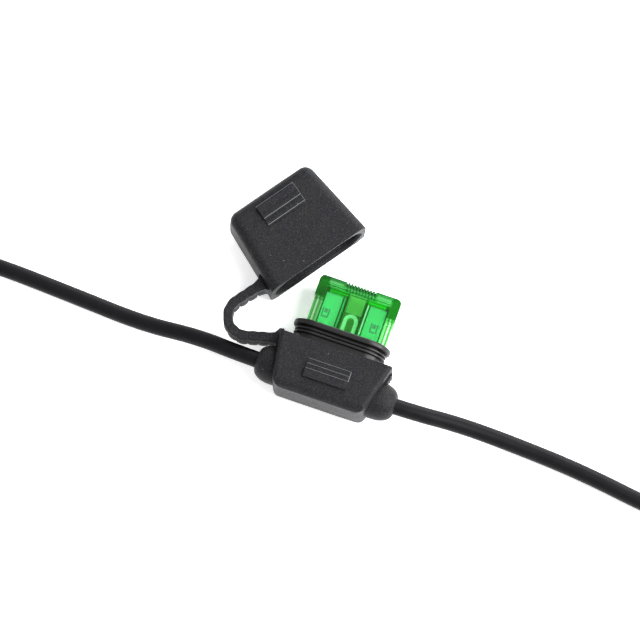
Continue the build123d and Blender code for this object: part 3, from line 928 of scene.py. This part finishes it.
@dataclass
class StrapPath:
    """The strap's centreline: a run from the body, an arc and a run to the cap, in millimetres.

    Attributes:
        root: Where it leaves the body, in the plan.
        root_angle: Its heading there, in degrees.
        root_run: The length of its first run.
        radius: The radius of its arc.
        target: Where it meets the cap, in the plan.
    """

    root: tuple[float, float] = (-13.106, 5.9)
    root_angle: float = 194.5
    root_run: float = 7.4
    radius: float = 4.5
    target: tuple[float, float] = (-20.553, 16.976)

    def __post_init__(self) -> None:
        """Finds the arc's middle and turn, and the whole length."""
        self.angle = math.radians(self.root_angle)
        self.heading = np.array([math.cos(self.angle), math.sin(self.angle)])
        corner = np.array(self.root) + self.heading * self.root_run
        self.centre = corner + np.array([self.heading[1], -self.heading[0]]) * self.radius
        away = np.array(self.target) - self.centre
        reach = np.linalg.norm(away)
        leave = math.atan2(away[1], away[0]) + math.acos(self.radius / reach)
        self.enter = self.angle + math.pi / 2
        self.swing = (self.enter - leave) % (2 * math.pi)
        self.arc = self.radius * self.swing
        self.length = self.root_run + self.arc + math.sqrt(reach**2 - self.radius**2)

    def at(self, distance: np.ndarray) -> tuple[np.ndarray, np.ndarray]:
        """Points and headings at distances along the centreline, in millimetres.

        Args:
            distance: Distances from the body's wall.

        Returns:
            The plan points and the unit headings.
        """
        turn = np.clip((distance - self.root_run) / self.radius, 0, self.swing)
        headings = np.stack([np.cos(self.angle - turn), np.sin(self.angle - turn)], axis=-1)
        bend = self.enter - turn
        on_arc = self.centre + self.radius * np.stack([np.cos(bend), np.sin(bend)], axis=-1)
        straight = np.array(self.root) + self.heading * np.minimum(distance, self.root_run)[:, None]
        last = np.maximum(distance - self.root_run - self.arc, 0)[:, None]
        points = np.where(distance[:, None] <= self.root_run, straight, on_arc) + last * headings
        return points, headings


@dataclass
class Strap:
    """The notched rubber strap, in two meshes that meet in a notch. Lengths are in millimetres.

    Attributes:
        path: Its centreline.
        thickness: Its size across, in the plan.
        height: Its size up.
        pitch: From one notch to the next.
        middle_notch: The notch, counted from the body, where the two meshes meet.
        notch_half: Half the width of a notch.
        notch_fade: The width of a notch's edge.
        outer_depth: The depth of a notch on the outside of the bend.
        inner_depth: The depth of a notch on the inside of the bend.
        bulge: How far the sides swell and sink between the notches.
        seam: The depth of the seam at half its height.
        cap_flare: How far it widens into the cap.
        body_flare: How far it widens into the body.
        step: The length of one row of faces.
        end_drop: How much lower its end at the cap is.
    """

    path: StrapPath = field(default_factory=StrapPath)
    thickness: float = 2.1
    height: float = 5.2
    pitch: float = 2.35
    middle_notch: int = 5
    notch_half: float = 0.2
    notch_fade: float = 0.08
    outer_depth: float = 0.12
    inner_depth: float = 0.26
    bulge: float = 0.05
    seam: float = 0.12
    cap_flare: float = 0.9
    body_flare: float = 0.35
    step: float = 0.08
    end_drop: float = -0.7

    @staticmethod
    def section() -> tuple[np.ndarray, np.ndarray]:
        """The section's outline from -1 to 1 both ways: four flat sides and four rounded corners.

        Returns:
            The coordinates across the strap and up it.
        """
        flat = np.linspace(-0.9, 0.9, 25)
        turn = np.linspace(0, math.pi / 2, 6)[1:-1]
        bend_x, bend_y = 0.75 + 0.25 * np.cos(turn), 0.9 + 0.1 * np.sin(turn)
        top = np.linspace(0.75, -0.75, 7)
        across = [np.ones(25), bend_x, top, -bend_x[::-1], -np.ones(25), -bend_x, -top, bend_x[::-1]]
        upward = [flat, bend_y, np.ones(7), bend_y[::-1], -flat, -bend_y, -np.ones(7), -bend_y[::-1]]
        return np.concatenate(across), np.concatenate(upward)

    def mesh(self, name: str, start: float, end: float, finish: bpy.types.Material) -> bpy.types.Object:
        """One stretch of the strap.

        The section is a box with soft corners. At distance s each side sinks by d n(s), where n is 1
        inside the narrow notch between two blocks, and by a shallow seam at half its height. The
        notches stop below the top. Towards each end the strap widens into its root.

        Args:
            name: The piece's name.
            start: Where the stretch starts, in millimetres from the body.
            end: Where it ends.
            finish: Its material.

        Returns:
            The object.
        """
        distance = np.linspace(start, end, int(round((end - start) / self.step)) + 1)
        points, headings = self.path.at(distance)
        beat = np.abs(((distance / self.pitch + 0.5) % 1.0) - 0.5) * self.pitch
        notch = np.clip((self.notch_half - beat) / self.notch_fade, 0, 1)
        bulge = self.bulge * np.cos(distance / self.pitch * 2 * math.pi)
        to_cap = self.path.length - distance
        root = self.cap_flare * np.exp(-to_cap / 0.9) + self.body_flare * np.exp(-distance / 0.8)
        across, upward = self.section()
        seam = self.seam * np.exp(-((upward / 0.07) ** 2))
        low = 1.0 - np.clip((upward - 0.6) / 0.15, 0, 1)
        deep = np.where(across < 0, self.outer_depth, self.inner_depth)
        sunk = np.outer(notch, deep * low) + np.outer(np.ones_like(notch), seam)
        half = (self.thickness / 2 - bulge + root)[:, None] - sunk
        side = np.stack([headings[:, 1], -headings[:, 0]], axis=-1)
        lateral = half * across[None, :]
        rise = self.height / 2 * np.outer(1 - 0.02 * notch, upward)
        lift = np.interp(distance, [0, self.path.length], [0, self.end_drop])
        grid = np.empty((len(distance), len(across), 3))
        grid[:, :, 0] = points[:, 0, None] + side[:, 0, None] * lateral
        grid[:, :, 1] = points[:, 1, None] + side[:, 1, None] * lateral
        grid[:, :, 2] = MID_Z + lift[:, None] + rise
        made = Surface(name, grid * MM, wrap=True, capped=True).build()
        made.data.materials.append(finish)
        return made

    def build(self, finish: bpy.types.Material) -> None:
        """Makes both stretches and hides the frame's own strap."""
        middle = self.pitch * self.middle_notch
        reach = self.path.length
        stretches = (
            ("strap_lower", 0.0, middle, "holder", "strap", 0.4, middle),
            ("strap_upper", middle, reach, "strap", "cap", middle, reach - 0.6),
        )
        for name, start, end, first, second, bend_from, bend_to in stretches:
            piece = self.mesh(name, start, end, finish)
            ends, _ = self.path.at(np.array([bend_from, bend_to]))
            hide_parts("tether_strap")
            ends[0][0] * MM
            ends[0][1] * MM
            ends[1][0] * MM
            ends[1][1] * MM
            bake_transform(piece)


LEFT = Lead(
    side=Side.LEFT,
    route=[
        (-11.2, 0, MID_Z),
        (-20, 0, MID_Z),
        (-31, 1.3, 4.2),
        (-43.5, 0.6, 1.85),
        (-61, 1.6, 1.85),
        (-80, 2.5, 1.85),
        (-98, 1.6, 1.85),
        (-113, 9.2, 1.85),
        (-121, 24.4, 1.85),
        (-121, 41.5, 1.85),
        (-117.163, 50.826, 1.85),
    ],
    tip=(-114.5, 57.3, 1.85),
    exit=(-16.3, 0, MID_Z),
    length=142.3,
)
RIGHT = Lead(
    side=Side.RIGHT,
    route=[
        (11.2, 0, MID_Z),
        (20, 0, MID_Z),
        (31, 1.5, 4.2),
        (44, 1.7, 1.85),
        (60.5, 0.7, 1.85),
        (79, -2.0, 1.85),
        (97, -2.5, 1.85),
        (112, 5.4, 1.85),
        (120.5, 20.6, 1.85),
        (120.5, 37.8, 1.85),
        (116.867, 47.912, 1.85),
    ],
    tip=(114.5, 54.5, 1.85),
    exit=(16.3, 0, MID_Z),
    length=142.7,
)


def paint(frame: dict, finishes: dict[str, bpy.types.Material]) -> None:
    """Gives the CAD nodes that stay their finishes.

    Args:
        frame: The loaded frame.
        finishes: A material for each node's name.
    """
    for name, finish in finishes.items():
        mesh = frame["nodes"][name].data
        if not mesh.materials:
            mesh.materials.append(finish)
        for number in range(len(mesh.materials)):
            mesh.materials[number] = finish


def main(frame: dict) -> None:
    """Builds the look of the holder, in order.

    Args:
        frame: The loaded frame.
    """
    logging.basicConfig(level=logging.INFO, format="%(message)s")
    LOG.info("stage")
    Stage().build()
    rubber = MouldedRubber().build()
    body_pad = PadHighlights((0.0, 0.0), 0.0, 0.005, (0.0004, 0.0016, 0.0028), (1,))
    body_rubber = MouldedRubber("body_rubber", body_pad).build()
    cap_pad = PadHighlights((-0.01067, 0.02554), 54.6, 0.005, (0.0123, 0.01395, 0.01725), (1,))
    cap_rubber = MouldedRubber("cap_rubber", cap_pad).build()
    core = GlossyCore().build()
    copper = BareMetal("copper", srgb(214, 138, 96), srgb(150, 84, 58), 0.28).build()
    tin = BareMetal("tin", srgb(190, 188, 180), srgb(140, 136, 126), 0.35).build()
    zinc = Element().build()
    green = ClearGreen().build()
    LOG.info("nodes of the frame")
    paint(
        frame,
        {
            "holder_body": body_rubber,
            "cap": cap_rubber,
            "socket_core": core,
            "terminal_left": tin,
            "terminal_right": tin,
            "fuse_element": zinc,
            "fuse_housing": green,
        },
    )
    LOG.info("leads")
    jacket = LeadJacket().build()
    for lead in (LEFT, RIGHT):
        lead.build(jacket, copper)
    LOG.info("strap")
    Strap().build(rubber)


if __name__ == "__main__":
    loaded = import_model()
    main(loaded)
